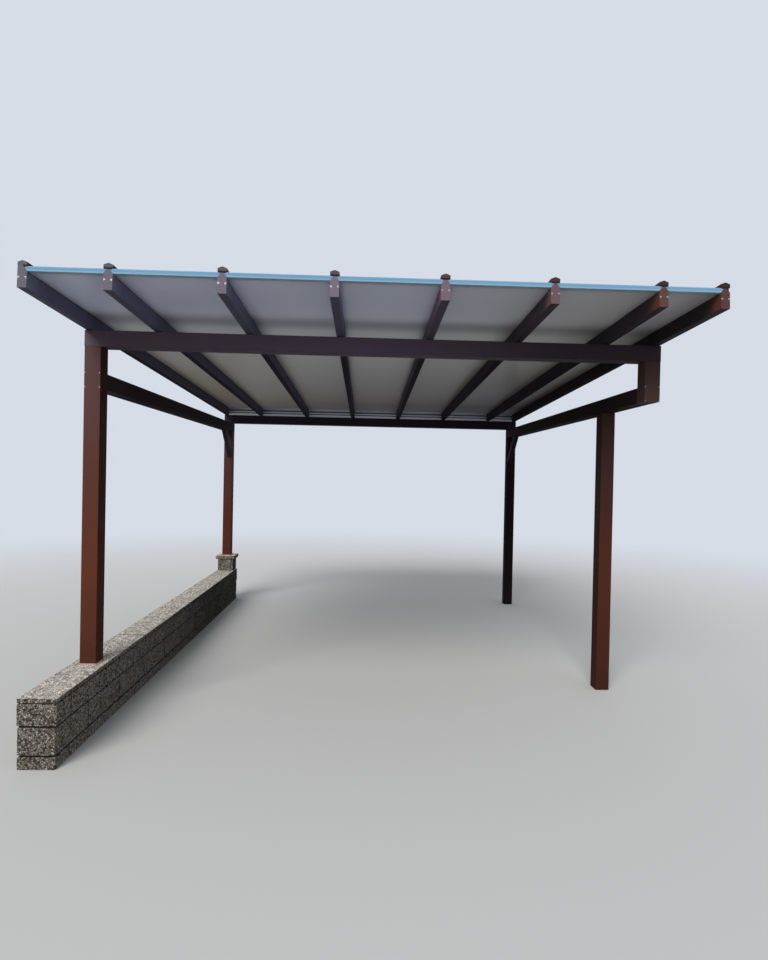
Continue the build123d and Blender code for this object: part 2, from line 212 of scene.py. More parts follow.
def washed_aggregate(name, matrix_colour, grime_colour, grime_share, inward_grime_and_shade):
    """Washed aggregate with its own cement and weathering. Its upright faces are darkened by dirt of one
    colour outside. Towards the carport they take the colours of the last argument, from front to back, more
    thickly
    towards the back: dirt mixed with painted light near the open front and painted shade under the roof.
    From the wall's top on, faces that look up are washed pale."""
    material, tree, place = new_material(name)
    spot = add(tree, "SeparateXYZ", {"Vector": place})
    normal = add(tree, "NewGeometry").outputs["Normal"]
    side = add(tree, "SeparateXYZ", {"Vector": normal})
    stones, gaps = (
        add(tree, "TexVoronoi", {"Vector": place, "Scale": 1 / STONE_SIZE}, feature=feature)
        for feature in ("F1", "DISTANCE_TO_EDGE")
    )
    pick = add(tree, "SeparateColor", {"Color": stones.outputs["Color"]})
    palette = add(tree, "ValToRGB", {"Fac": pick.outputs["Red"]})
    palette.color_ramp.interpolation = "CONSTANT"
    fill_ramp(palette.color_ramp, STONE_COLOURS)
    between = add(tree, "MapRange", {"Value": gaps.outputs["Distance"], "From Min": 0.03, "From Max": 0.14})
    stony = add(
        tree, "Mix", {0: between.outputs["Result"], 6: linear(matrix_colour), 7: palette.outputs["Color"]},
        data_type="RGBA"
    )
    patches = add(
        tree, "TexNoise", {"Vector": place, "Scale": 1 / GRIME_PATCH, "Detail": 6.0, "Roughness": 0.62}
    )
    above = add(
        tree, "MapRange",
        {"Value": spot.outputs["Z"], "From Min": wall_top - LEDGES_END, "From Max": wall_top - TOP_STARTS}
    )
    skyward = add(tree, "Math", {0: side.outputs["Z"], 1: above.outputs["Result"]}, operation="MULTIPLY")
    upright = add(tree, "MapRange", {"Value": skyward.outputs["Value"], "From Min": 0.95, "From Max": 0.6})
    grimy_and_shaded = add(
        tree, "MapRange",
        {"Value": patches.outputs["Fac"], "From Min": 0.3, "From Max": 0.72, "To Min": 0.8}
    )
    # The wall's inner face stands left of the middle and looks right, so this is well below zero only there.
    facing = add(tree, "Math", {0: spot.outputs["X"], 1: side.outputs["X"]}, operation="MULTIPLY")
    inward = add(
        tree, "MapRange",
        {"Value": facing.outputs["Value"], "From Min": INNER_FACE_FROM, "From Max": INNER_FACE_AT}
    )
    # Towards the carport the dirt is mixed with painted light near the open front and painted shade under the
    # roof, and thickens towards the back as the shade darkens.
    inner_face_grime_and_shade = place_colour(tree, place, "Y", inward_grime_and_shade)
    grime_and_shade = add(
        tree, "Mix",
        {0: inward.outputs["Result"], 6: linear(grime_colour), 7: inner_face_grime_and_shade}, data_type="RGBA"
    )
    deeper_grime_and_shade = add(
        tree, "MapRange",
        {"Value": spot.outputs["Y"], "From Min": GRIME_AND_SHADE_THIN_AT, "From Max": GRIME_AND_SHADE_THICK_AT,
         "To Min": 0.4, "To Max": 0.92}
    )
    grime_and_shade_depth = add(tree, "Mix", {0: inward.outputs["Result"], 2: grime_share, 3: deeper_grime_and_shade.outputs["Result"]})
    spread = add(
        tree, "Math", {0: upright.outputs["Result"], 1: grimy_and_shaded.outputs["Result"]}, operation="MULTIPLY"
    )
    share = add(tree, "Math", {0: spread.outputs["Value"], 1: grime_and_shade_depth.outputs[0]}, operation="MULTIPLY")
    rained_on = add(
        tree, "MapRange", {"Value": skyward.outputs["Value"], "From Min": 0.85, "From Max": 0.97}
    )
    rinsed = add(
        tree, "HueSaturation",
        {"Color": stony.outputs[2], "Value": RAIN_BRIGHTENS, "Fac": rained_on.outputs["Result"]}
    )
    out_in_front = add(
        tree, "MapRange",
        {"Value": spot.outputs["Y"], "From Min": CHALK_LEAST_AT, "From Max": CHALK_MOST_AT,
         "To Min": 0.16, "To Max": 0.31}
    )
    chalky = add(
        tree, "Math",
        {0: rained_on.outputs["Result"], 1: out_in_front.outputs["Result"]}, operation="MULTIPLY"
    )
    bleached_and_lit = add(
        tree, "Mix",
        {0: chalky.outputs["Value"], 6: rinsed.outputs["Color"], 7: linear(CHALK_COLOUR)}, data_type="RGBA"
    )
    mottle = add(
        tree, "TexNoise", {"Vector": place, "Scale": LICHEN_PER_METRE, "Detail": 3.0, "Roughness": 0.8}
    )
    lichen = add(
        tree, "MapRange",
        {"Value": mottle.outputs["Fac"], "From Min": 0.45, "From Max": 0.6, "To Max": 0.45}
    )
    lying = add(
        tree, "Math", {0: lichen.outputs["Result"], 1: rained_on.outputs["Result"]}, operation="MULTIPLY"
    )
    specked = add(
        tree, "Mix",
        {0: lying.outputs["Value"], 6: bleached_and_lit.outputs[2], 7: linear(LICHEN_COLOUR)}, data_type="RGBA"
    )
    weathered_and_painted_light = add(
        tree, "Mix",
        {0: share.outputs["Value"], 6: specked.outputs[2], 7: grime_and_shade.outputs[2]}, data_type="RGBA"
    )
    dome = add(
        tree, "MapRange",
        {"Value": gaps.outputs["Distance"], "From Max": 0.35}, interpolation_type="SMOOTHSTEP"
    )
    bump = add(tree, "Bump", {"Strength": 0.8, "Distance": STONE_HEIGHT, "Height": dome.outputs["Result"]})
    shader = add(
        tree, "BsdfPrincipled",
        {"Base Color": weathered_and_painted_light.outputs[2], "Roughness": 0.9, "IOR": 1.5,
         "Specular IOR Level": CONCRETE_GLOSS, "Normal": bump.outputs["Normal"]}
    )
    add(tree, "OutputMaterial", {"Surface": shader.outputs["BSDF"]})
    return material


# The colours towards the carport run from painted light at the open front to painted shade under the roof.
wall_concrete = washed_aggregate(
    "washed_aggregate_concrete", "#4B453C", "#2E2922", 0.6,
    ((-2.3, "#8A7C62"), (-0.2, "#655B47"), (1.0, "#1C1C18"))
)

lower_blocks = bmesh.new()
wall_course(lower_blocks, "wall_lower_course", 0.0, FOOT_TOP, BLOCK_PITCH, JOINT_IN_STEP, END_JOINT, seed=0)
wall_course(
    lower_blocks, "wall_lower_course", FOOT_TOP + BED_JOINT, course_height, BLOCK_PITCH, JOINT_OUT_OF_STEP,
    END_JOINT, seed=20
)
finish_piece("wall_lower_blocks", lower_blocks, wall_concrete, "masonry", "wall_lower_course")

upper_blocks = bmesh.new()
wall_course(
    upper_blocks, "wall_upper_course", course_height + BED_JOINT, COPING_BASE - COPING_JOINT, BLOCK_PITCH,
    JOINT_IN_STEP, END_JOINT, seed=40
)
wall_course(
    upper_blocks, "wall_upper_course", COPING_BASE, wall_top, COPING_PITCH, JOINT_OUT_OF_STEP,
    COPING_JOINT, seed=60
)
finish_piece("wall_upper_blocks", upper_blocks, wall_concrete, "masonry", "wall_upper_course")

# Sanded cement mortar: a matt grey, darkened by damp in patches 0.14 m wide. Its sand is too fine for the
# picture and is drawn 4 mm apart.
SAND_PER_METRE = 260.0
DAMP_PER_METRE = 7.0

joint_mortar, tree, place = new_material("sanded_cement_mortar")
sand = add(tree, "TexNoise", {"Vector": place, "Scale": SAND_PER_METRE, "Detail": 3.0})
damp = add(tree, "TexNoise", {"Vector": place, "Scale": DAMP_PER_METRE, "Detail": 4.0})
tone = add(
    tree, "Mix", {0: damp.outputs["Fac"], 6: linear("#2B2823"), 7: linear("#151311")}, data_type="RGBA"
)
grain = add(tree, "Bump", {"Strength": 0.5, "Distance": 0.002, "Height": sand.outputs["Fac"]})
shader = add(
    tree, "BsdfPrincipled",
    {"Base Color": tone.outputs[2], "Roughness": 0.92, "Specular IOR Level": CONCRETE_GLOSS,
     "Normal": grain.outputs["Normal"]}
)
add(tree, "OutputMaterial", {"Surface": shader.outputs["BSDF"]})

mortar = bmesh.new()
for node, top_rake in (("wall_lower_course", 0), ("wall_upper_course", MORTAR_RAKE)):
    low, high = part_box(node)
    low += Vector((MORTAR_RAKE, MORTAR_RAKE, 0))
    high -= Vector((MORTAR_RAKE, MORTAR_RAKE, top_rake))
    cast_block(mortar, low, high, MORTAR_ARRIS, MORTAR_GRID, MORTAR_RELIEF, seed=3.0)
finish_piece("wall_mortar", mortar, joint_mortar, "masonry")


# Rear pier. One more block of the same aggregate, bedded on the wall to bring the back left post up to
# height, under a slab that is cast with a fine pinkish aggregate. Both are more worn than the wall.
PIER_ARRIS = 0.008
PIER_GRID = 0.011
CAP_ARRIS = 0.007
CAP_GRID = 0.012
CAP_RELIEF = 0.0022

pier = bmesh.new()
cast_block(pier, *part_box("rear_pier"), PIER_ARRIS, PIER_GRID, BLOCK_RELIEF, seed=71.0)
finish_piece("rear_pier_block", pier, wall_concrete, "masonry", "rear_pier")

cap = bmesh.new()
cast_block(cap, *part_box("pier_cap"), CAP_ARRIS, CAP_GRID, CAP_RELIEF, seed=83.0)
cap_concrete = washed_aggregate(
    "washed_pink_aggregate_concrete", "#9A8276", "#57453A", 0.75, ((1.0, "#57453A"), (3.0, "#57453A"))
)
finish_piece("pier_cap_slab", cap, cap_concrete, "masonry", "pier_cap")


# Posts. Square aluminium tube with a welded foot plate, powder coated before it was put up. The left ones
# stand on the wall and on the pier, bedded in a little mortar that was struck off round the foot.

# Powder coat: a satin red-brown polyester film, with the faint orange peel of a coat baked on after
# spraying. It is paler and greyer at the open front and left and up the posts, partly chalking and partly
# painted sky reflection. Faces that look in carry painted shade, and far in under the roof a darker painted
# shade dulls it. Dust lies on top, rain marks run down the posts, and dirt is splashed at their feet.
COAT_FADED = "#603528"
COAT_SHADE = "#4E2A20"
DUST_COLOUR = "#857B72"
DIRT_COLOUR = "#2C211C"
DEEP_SHADE_COLOUR = "#110C0B"
COAT_GLOSS = 0.04
WEAR_AND_LIGHT_SHARE = 0.6
SHADED_SHARE = 0.8
FADING_PER_METRE = 2.2
SPECKS_PER_METRE = 24.0
PEEL_PER_METRE = 420.0
PEEL_HEIGHT = 0.0008
RAIN_MARKS_PER_METRE = (60.0, 60.0, 1.6)
SPLASH_HEIGHT = 0.3
DEEP_SHADE_STARTS_AT = -1.95
DEEP_SHADE_FULL_AT = -1.1
DEEP_SHADE_ON_UNDERSIDES = 2.1
FRONT_END = -2.59
FRONT_LIGHT_ENDS_AT = -2.42


def powder_coat(name, foot_height=None, wear_and_painted_light=None, shaded=None, front=None, deep_shade=0.0):
    """The frame's coating, with dirt splashed up from foot_height where the tube stands on something. Three
    more arguments are each an axis and the colours at places along it: for all faces, chalking mixed with
    painted sky reflection and painted shade; for faces that look in under the roof, painted shade and on some
    parts painted sky reflection; and for the roof's front end, painted light, which undersides take least.
    The last argument is the share of a darker painted shade on shaded faces behind the front beam, most of
    all on undersides, which also dulls the coat.
    """
    material, tree, place = new_material(name)
    spot = add(tree, "SeparateXYZ", {"Vector": place})
    normal = add(tree, "NewGeometry").outputs["Normal"]
    side = add(tree, "SeparateXYZ", {"Vector": normal})
    cloud = add(
        tree, "TexNoise", {"Vector": place, "Scale": FADING_PER_METRE, "Detail": 5.0, "Roughness": 0.6}
    )
    colour = add(
        tree, "Mix",
        {0: cloud.outputs["Fac"], 6: linear(COAT_SHADE), 7: linear(COAT_FADED)}, data_type="RGBA"
    )
    gloss = add(
        tree, "MapRange",
        {"Value": cloud.outputs["Fac"], "From Min": 0.3, "From Max": 0.7, "To Min": 0.55, "To Max": 0.68}
    )
    roughness = gloss.outputs["Result"]
    streak_place = add(tree, "Mapping", {"Vector": place, "Scale": RAIN_MARKS_PER_METRE})
    streaks = add(tree, "TexNoise", {"Vector": streak_place.outputs["Vector"], "Scale": 1.0, "Detail": 4.0})
    streaky = add(
        tree, "MapRange",
        {"Value": streaks.outputs["Fac"], "From Min": 0.56, "From Max": 0.78, "To Max": 0.08}
    )
    washed = add(
        tree, "Mix",
        {0: streaky.outputs["Result"], 6: colour.outputs[2], 7: linear(DUST_COLOUR)}, data_type="RGBA"
    )
    specks = add(
        tree, "TexNoise", {"Vector": place, "Scale": SPECKS_PER_METRE, "Detail": 8.0, "Roughness": 0.7}
    )
    speckle = add(
        tree, "MapRange",
        {"Value": specks.outputs["Fac"], "From Min": 0.35, "From Max": 0.7, "To Min": 0.15, "To Max": 0.5}
    )
    upward = add(tree, "MapRange", {"Value": side.outputs["Z"], "From Min": 0.5, "From Max": 0.95})
    settled = add(
        tree, "Math", {0: speckle.outputs["Result"], 1: upward.outputs["Result"]}, operation="MULTIPLY"
    )
    dusty = add(
        tree, "Mix",
        {0: settled.outputs["Value"], 6: washed.outputs[2], 7: linear(DUST_COLOUR)}, data_type="RGBA"
    )
    surface_colour = dusty.outputs[2]
    if wear_and_painted_light:
        weathered_and_painted_light = add(
            tree, "Mix",
            {0: WEAR_AND_LIGHT_SHARE, 6: surface_colour, 7: place_colour(tree, place, *wear_and_painted_light)}, data_type="RGBA"
        )
        surface_colour = weathered_and_painted_light.outputs[2]
    if shaded:
        # A face that looks in, towards the middle of the floor, turns its normal against its place.
        facing = add(tree, "VectorMath", {0: place, 1: normal}, operation="DOT_PRODUCT")
        inward = add(
            tree, "MapRange",
            {"Value": facing.outputs["Value"], "From Min": 0.1, "From Max": -0.2, "To Max": SHADED_SHARE}
        )
        # Faces that look in take the shaded colours, which are painted shade, and on the rafters' left
        # painted sky reflection.
        grimy_and_shaded = add(
            tree, "Mix",
            {0: inward.outputs["Result"], 6: surface_colour, 7: place_colour(tree, place, *shaded)},
            data_type="RGBA"
        )
        surface_colour = grimy_and_shaded.outputs[2]
    if shaded and deep_shade:
        # Behind the front beam a darker painted shade lies on faces that look in, most of all on undersides,
        # and makes the coat rougher.
        behind = add(
            tree, "MapRange",
            {"Value": spot.outputs["Y"], "From Min": DEEP_SHADE_STARTS_AT, "From Max": DEEP_SHADE_FULL_AT, "To Max": deep_shade}
        )
        below = add(
            tree, "MapRange",
            {"Value": side.outputs["Z"], "From Min": -0.5, "From Max": -0.9,
             "To Min": 1.0, "To Max": DEEP_SHADE_ON_UNDERSIDES}
        )
        held = add(
            tree, "Math", {0: inward.outputs["Result"], 1: behind.outputs["Result"]}, operation="MULTIPLY"
        )
        deep_shade_share = add(
            tree, "Math", {0: held.outputs["Value"], 1: below.outputs["Result"]}, operation="MULTIPLY"
        )
        deep_shaded = add(
            tree, "Mix",
            {0: deep_shade_share.outputs["Value"], 6: surface_colour, 7: linear(DEEP_SHADE_COLOUR)}, data_type="RGBA"
        )
        surface_colour = deep_shaded.outputs[2]
        roughness = add(tree, "Mix", {0: deep_shade_share.outputs["Value"], 2: roughness, 3: 1.0}).outputs[0]
    if front:
        # The roof's front end takes painted light from the front colours, over its first 0.17 m, least on
        # undersides.
        near_end = add(
            tree, "MapRange",
            {"Value": spot.outputs["Y"], "From Min": FRONT_END, "From Max": FRONT_LIGHT_ENDS_AT,
             "To Min": 1.0, "To Max": 0.0},
            interpolation_type="SMOOTHSTEP"
        )
        lit_faces = add(
            tree, "MapRange",
            {"Value": side.outputs["Z"], "From Min": -0.9, "From Max": -0.5, "To Min": 0.15}
        )
        front_light_share = add(
            tree, "Math",
            {0: near_end.outputs["Result"], 1: lit_faces.outputs["Result"]}, operation="MULTIPLY"
        )
        bleached_and_lit = add(
            tree, "Mix",
            {0: front_light_share.outputs["Value"], 6: surface_colour, 7: place_colour(tree, place, *front)},
            data_type="RGBA"
        )
        surface_colour = bleached_and_lit.outputs[2]
    if foot_height is not None:
        splash = add(
            tree, "MapRange",
            {"Value": spot.outputs["Z"], "From Min": foot_height, "From Max": foot_height + SPLASH_HEIGHT,
             "To Min": 0.4, "To Max": 0.0},
            interpolation_type="SMOOTHERSTEP"
        )
        spatter = add(tree, "MapRange", {"Value": specks.outputs["Fac"], "From Min": 0.3, "From Max": 0.65})
        dirt = add(
            tree, "Math", {0: splash.outputs["Result"], 1: spatter.outputs["Result"]}, operation="MULTIPLY"
        )
        dirty = add(
            tree, "Mix",
            {0: dirt.outputs["Value"], 6: surface_colour, 7: linear(DIRT_COLOUR)}, data_type="RGBA"
        )
        surface_colour = dirty.outputs[2]
    peel = add(tree, "TexNoise", {"Vector": place, "Scale": PEEL_PER_METRE, "Detail": 2.0})
    bump = add(tree, "Bump", {"Strength": 0.12, "Distance": PEEL_HEIGHT, "Height": peel.outputs["Fac"]})
    shader = add(
        tree, "BsdfPrincipled",
        {"Base Color": surface_colour, "Roughness": roughness, "IOR": 1.5,
         "Specular IOR Level": COAT_GLOSS, "Normal": bump.outputs["Normal"]}
    )
    add(tree, "OutputMaterial", {"Surface": shader.outputs["BSDF"]})
    return material


def finish_nodes(material, *node_names):
    """Gives the material to nodes of the CAD."""
    for node in node_names:
        nodes[node].material_slots[0].material = material


# Up each post the colours are partly chalking and partly painted sky reflection, greyer towards the top.
# Faces that look in carry painted shade, darkest on the back right post, which also takes the darker painted
# shade far in under the roof.
for node, wear_and_painted_light, shaded, deep_shade in (
    (
        "post_front_left",
        ("Z", ((0.5, "#573024"), (1.3, "#6F3E2F"), (1.9, "#684437"), (2.5, "#6C5455"), (2.8, "#705A5B"))),
        ("Z", ((1.1, "#573024"), (1.6, "#3D2118"))), 0.0,
    ),
    (
        "post_front_right",
        ("Z", ((0.2, "#41231A"), (1.2, "#532E24"), (1.6, "#4C302B"), (2.0, "#4E3734"), (2.4, "#483E39"))),
        ("Z", ((0.3, "#3D2118"), (1.0, "#2A160E"))), 0.0,
    ),
    ("post_back_left", ("Z", ((1.2, "#573024"), (2.4, "#573F43"))), None, 0.0),
    ("post_back_right", None, ("Z", ((0.0, "#20242C"), (2.4, "#20242C"))), 0.6),
):
    finish_nodes(powder_coat("powder_coat_" + node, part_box(node)[0].z, wear_and_painted_light, shaded, deep_shade=deep_shade), node)

FOOT_BED_BELOW = 0.006
FOOT_BED_RISE = 0.004
FOOT_BED_WIDTH = 0.006
FOOT_BED_FRONT = 0.028
FOOT_BED_CUTS = 11
FOOT_BED_WANDER = 0.0025
FOOT_BED_WAVES = 60
ON_THE_EDGE = 0.001

# Each bed is a thin pad under the foot plate, whose lower edge is drawn out to the front, right and back.
beds = bmesh.new()
for node in ("post_front_left", "post_back_left"):
    low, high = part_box(node)
    centre = (low + high) / 2
    bed = bmesh.new()
    bmesh.ops.create_cube(bed, size=1.0)
    bmesh.ops.scale(bed, vec=(high.x - low.x, high.y - low.y, FOOT_BED_BELOW), verts=bed.verts)
    middle_height = low.z + FOOT_BED_RISE - FOOT_BED_BELOW / 2
    bmesh.ops.translate(bed, vec=(centre.x, centre.y, middle_height), verts=bed.verts)
    level = [e for e in bed.edges if abs(e.verts[0].co.z - e.verts[1].co.z) < ON_THE_EDGE]
    bmesh.ops.subdivide_edges(bed, edges=level, cuts=FOOT_BED_CUTS, use_grid_fill=True)
    for v in bed.verts:
        if v.co.z < low.z:
            wander = FOOT_BED_WANDER * noise.noise(v.co * FOOT_BED_WAVES)
            v.co.z = low.z - FOOT_BED_BELOW
            if v.co.x > high.x - ON_THE_EDGE:
                v.co.x += FOOT_BED_WIDTH + wander
            if v.co.y < low.y + ON_THE_EDGE:
                v.co.y -= FOOT_BED_FRONT + 2 * wander
            if v.co.y > high.y - ON_THE_EDGE:
                v.co.y += FOOT_BED_WIDTH + wander
    lend(beds, bed)

# Struck cement mortar: pale, pinkish and matt, with a fine grain of sand that is drawn 3 mm apart to show.
STRUCK_SAND_PER_METRE = 300.0

bedding, tree, place = new_material("struck_cement_mortar")
sand = add(tree, "TexNoise", {"Vector": place, "Scale": STRUCK_SAND_PER_METRE, "Detail": 3.0})
tone = add(
    tree, "Mix", {0: sand.outputs["Fac"], 6: linear("#D9B3A6"), 7: linear("#B39184")}, data_type="RGBA"
)
grain = add(tree, "Bump", {"Strength": 0.5, "Distance": 0.0015, "Height": sand.outputs["Fac"]})
shader = add(
    tree, "BsdfPrincipled",
    {"Base Color": tone.outputs[2], "Roughness": 0.9, "Normal": grain.outputs["Normal"]}
)
add(tree, "OutputMaterial", {"Surface": shader.outputs["BSDF"]})
finish_piece("post_foot_bedding", beds, bedding, "masonry")


# Beams, side rails, stub post and knee braces. The same tube, cut square or mitred, with plugs in its open
# ends. The joints are drawn up with four zinc-plated pan-head screws each, which show as pale dots on the
# front left post and on the stub.
# Along the front beam the colours are partly chalking, with painted sky reflection at the open left end that
# turns to painted shade towards the right.
finish_nodes(
    powder_coat("powder_coat_front_beam", wear_and_painted_light=("X", (
        (-2.1, "#726C7C"), (-0.1, "#807890"), (0.5, "#756C81"), (1.4, "#444B58"), (2.2, "#39444F")
    ))),
    "front_beam"
)
# The stub's greyer tone is partly chalking and partly painted sky reflection.
finish_nodes(
    powder_coat("powder_coat_stub_post", wear_and_painted_light=("Z", ((2.4, "#625450"), (2.8, "#5C5050")))), "stub_post"
)
# On the back beam, the tubes' end caps and the braces, faces that look in carry a cool painted shade, darker
# at the right.
finish_nodes(
    powder_coat("powder_coat_frame", shaded=("X", ((-2.0, "#393D49"), (2.0, "#252B38")))),
    "back_beam", "tube_end_caps", "brace_left", "brace_right"
)
# On the side rails, faces that look in carry painted shade, and behind the front beam a darker painted shade.
finish_nodes(
    powder_coat("powder_coat_side_rails", shaded=("X", ((-2.0, "#3D3A3C"), (2.0, "#2A2829"))), deep_shade=0.5),
    "side_rail_left", "side_rail_right"
)

SCREW_HEAD = 0.008
SCREW_HEAD_HEIGHT = 0.0022
SCREW_WASHER = 0.0095
SCREW_WASHER_HEIGHT = 0.0005
SCREW_SOCKET = 0.004
SCREW_SOCKET_DEPTH = 0.0014
SCREW_SEATING = 0.0005
SCREW_SPREAD = 0.053


def pan_screw(screws, place, outward, head=SCREW_HEAD, washer=SCREW_WASHER, sides=12):
    """Adds a pan-head screw with its washer, seated at a point: turned, with a sunk socket."""
    top = SCREW_WASHER_HEIGHT + SCREW_HEAD_HEIGHT
    socket, floor_of_socket = SCREW_SOCKET / 2, top - SCREW_SOCKET_DEPTH
    profile = (
        (0.0, floor_of_socket), (socket, floor_of_socket), (socket, top),
        (head * 0.34, top - SCREW_HEAD_HEIGHT * 0.08), (head * 0.46, top - SCREW_HEAD_HEIGHT * 0.45),
        (head / 2, SCREW_WASHER_HEIGHT), (washer / 2, SCREW_WASHER_HEIGHT),
        (washer / 2, -SCREW_SEATING), (0.0, -SCREW_SEATING),
    )
    screw = bmesh.new()
    chain = [screw.verts.new((radius, 0, height)) for radius, height in profile]
    lines = [screw.edges.new(pair) for pair in zip(chain, chain[1:])]
    bmesh.ops.spin(
        screw, geom=chain + lines, cent=(0, 0, 0), axis=(0, 0, 1), angle=math.tau, steps=sides, use_merge=True
    )
    bmesh.ops.remove_doubles(screw, verts=screw.verts, dist=1e-6)
    bmesh.ops.recalc_face_normals(screw, faces=screw.faces)
    turn = Vector((0, 0, 1)).rotation_difference(Vector(outward)).to_matrix().to_4x4()
    lend(screws, screw, Matrix.Translation(place) @ turn)


def joint_screws(screws, middle, outward):
    """Adds the four screws of a joint, at the corners of a square round the middle of the tube's face."""
    for across in (-SCREW_SPREAD, SCREW_SPREAD):
        for up in (-SCREW_SPREAD, SCREW_SPREAD):
            pan_screw(screws, middle + Vector((across, 0, up)), outward)


# Zinc-plated steel: a thin bright coat that weathers to a mottled pale grey, so it glints softly.
ZINC_PER_METRE = 350.0

zinc, tree, place = new_material("zinc_plated_steel")
mottle = add(tree, "TexNoise", {"Vector": place, "Scale": ZINC_PER_METRE, "Detail": 4.0})
tone = add(
    tree, "Mix", {0: mottle.outputs["Fac"], 6: linear("#BDBDBC"), 7: linear("#87888C")}, data_type="RGBA"
)
dull = add(tree, "MapRange", {"Value": mottle.outputs["Fac"], "To Min": 0.28, "To Max": 0.5})
shader = add(
    tree, "BsdfPrincipled",
    {"Base Color": tone.outputs[2], "Metallic": 0.75, "Roughness": dull.outputs["Result"]}
)
add(tree, "OutputMaterial", {"Surface": shader.outputs["BSDF"]})

frame_screws = bmesh.new()
rail_low, rail_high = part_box("side_rail_left")
rail_middle = (rail_low.z + rail_high.z) / 2
for node in ("post_front_left", "stub_post"):
    low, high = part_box(node)
    joint_screws(frame_screws, Vector(((low.x + high.x) / 2, low.y, rail_middle)), (0, -1, 0))
back_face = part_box("back_beam")[1].y
for node in ("post_back_left", "post_back_right"):
    low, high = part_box(node)
    beam_middle = rail_high.z + (high.x - low.x) / 2
    joint_screws(frame_screws, Vector(((low.x + high.x) / 2, back_face, beam_middle)), (0, 1, 0))
finish_piece("frame_screws", frame_screws, zinc, "bare_strip")


# Rafters. Extruded box rafters with a slotted neck, coated like the tubes. A sawn plate closes each end, with
# two zinc-plated screws.
# On the rafters, faces that look in carry painted sky reflection at the left that turns to painted shade at
# the right. Their front ends carry painted light, and behind the front beam a darker painted shade lies on
# them, most of all on undersides.
rafter_coat = powder_coat(
    "powder_coat_rafters",
    shaded=("X", (
        (-2.1, "#8487A3"), (0.0, "#83849B"), (0.43, "#7D778B"), (1.1, "#4F4C5D"), (2.16, "#353B40")
    )),
    front=("X", (
        (-2.1, "#9495A8"), (-0.24, "#908B9A"), (0.43, "#8C6B70"), (1.6, "#784940"), (2.16, "#78493F")
    )),
    deep_shade=0.48
)
finish_nodes(rafter_coat, *[f"rafter_{number}" for number in range(1, 9)])
# Across the roof the end plates' colours are partly chalking and partly painted sky reflection, lilac at the
# left and browner at the right.
plate_coat = powder_coat(
    "powder_coat_end_plates",
    wear_and_painted_light=("X", (
        (-2.1, "#828A98"), (-0.2, "#9A91A6"), (0.43, "#968797"), (1.77, "#735854"), (2.16, "#674F52")
    ))
)
finish_nodes(plate_coat, "rafter_end_plates")

FRONT_RISE = 0.185
POST_SPACING = 4.15
END_PLATE = 0.003
END_REACH = 0.01
END_SCREW_SPREAD = 0.021
END_SCREW_HEIGHT = 0.062
END_SCREW_HEAD = 0.0105
END_SCREW_WASHER = 0.0125

slope = math.atan(FRONT_RISE / POST_SPACING)
slope_along = Vector((0, math.cos(slope), -math.sin(slope)))
slope_up = Vector((0, math.sin(slope), math.cos(slope)))

end_screws = bmesh.new()
for number in range(1, 9):
    low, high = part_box(f"rafter_{number}")
    middle = Vector(((low.x + high.x) / 2, 0, 0))
    corners = [v.co for v in nodes[f"rafter_{number}"].data.vertices]
    front_end = [c for c in corners if c.y < low.y + END_REACH]
    back_end = [c for c in corners if c.y > high.y - END_REACH]
    for points, outward, furthest in ((front_end, -1, min), (back_end, 1, max)):
        plate = furthest(p.dot(slope_along) for p in points) + outward * END_PLATE
        height = min(p.dot(slope_up) for p in points) + END_SCREW_HEIGHT
        for across in (-END_SCREW_SPREAD, END_SCREW_SPREAD):
            place = middle + Vector((across, 0, 0)) + slope_along * plate + slope_up * height
            pan_screw(end_screws, place, slope_along * outward, head=END_SCREW_HEAD, washer=END_SCREW_WASHER)
finish_piece("rafter_end_screws", end_screws, zinc, "bare_strip")


# Seals. Extruded rubber strips, seated in the rafters' grooves under the sheets and pressed on the sheets by
# the bars, with a rubber saddle between the end plate and the bar's cap at each end of a rafter.

# EPDM rubber: moulded black and dull, with a grey bloom from the weather.
BLOOM_PATCH = 0.025

epdm, tree, place = new_material("epdm_rubber")
bloom = add(tree, "TexNoise", {"Vector": place, "Scale": 1 / BLOOM_PATCH, "Detail": 4.0})
tone = add(
    tree, "Mix", {0: bloom.outputs["Fac"], 6: linear("#0B0B0D"), 7: linear("#18181B")}, data_type="RGBA"
)
skin = add(tree, "Bump", {"Strength": 0.2, "Distance": 0.0005, "Height": bloom.outputs["Fac"]})
shader = add(
    tree, "BsdfPrincipled",
    {"Base Color": tone.outputs[2], "Roughness": 0.72, "Specular IOR Level": 0.25,
     "Normal": skin.outputs["Normal"]}
)
add(tree, "OutputMaterial", {"Surface": shader.outputs["BSDF"]})
finish_nodes(epdm, "lower_seals", "upper_seals")


# Roof sheets. Multiwall polycarbonate, extruded 25 mm thick and cut to length, one to a bay. They lie loose
# between the seals, so that they can grow with heat.

# Pearl polycarbonate: a satin skin over webs that show as the faintest lengthwise lines. Less light
# passes through it towards the low end. Its underside is darker towards the low end and most at the right,
# from dirt mixed with painted shade, paler at the front left as painted light, and brighter at the very back
# as painted light. A soft painted shade lies in a band over the front beam, and behind it the sheet is
# tinted a little warmer. Faces that look up keep one plain colour. Dust lies on top. The webs stand
# 16 mm apart and are drawn at 20 mm, because 16 mm is too fine for the picture.
WEB_PITCH = 0.02
SHEET_FRONT = -2.2
SHEET_BACK = 2.4
DIRT_AND_SHADE_FROM = -2.1
DIRT_AND_SHADE_FULL_AT = 1.3
WARMER_FROM = -2.0
WARMER_AT = -1.2
WARMTH = "#FEFCF0"
REAR_LIGHT_FROM = 1.85
REAR_LIGHT_AT = 2.2
REAR_LIGHT = "#DEDCE6"
BEAM_SHADE_REACH = 0.22
BEAM_SHADE_COLOUR = "#55555C"
WEB_COLOUR = "#8C8F96"
TOP_COLOUR = "#CFD1D6"
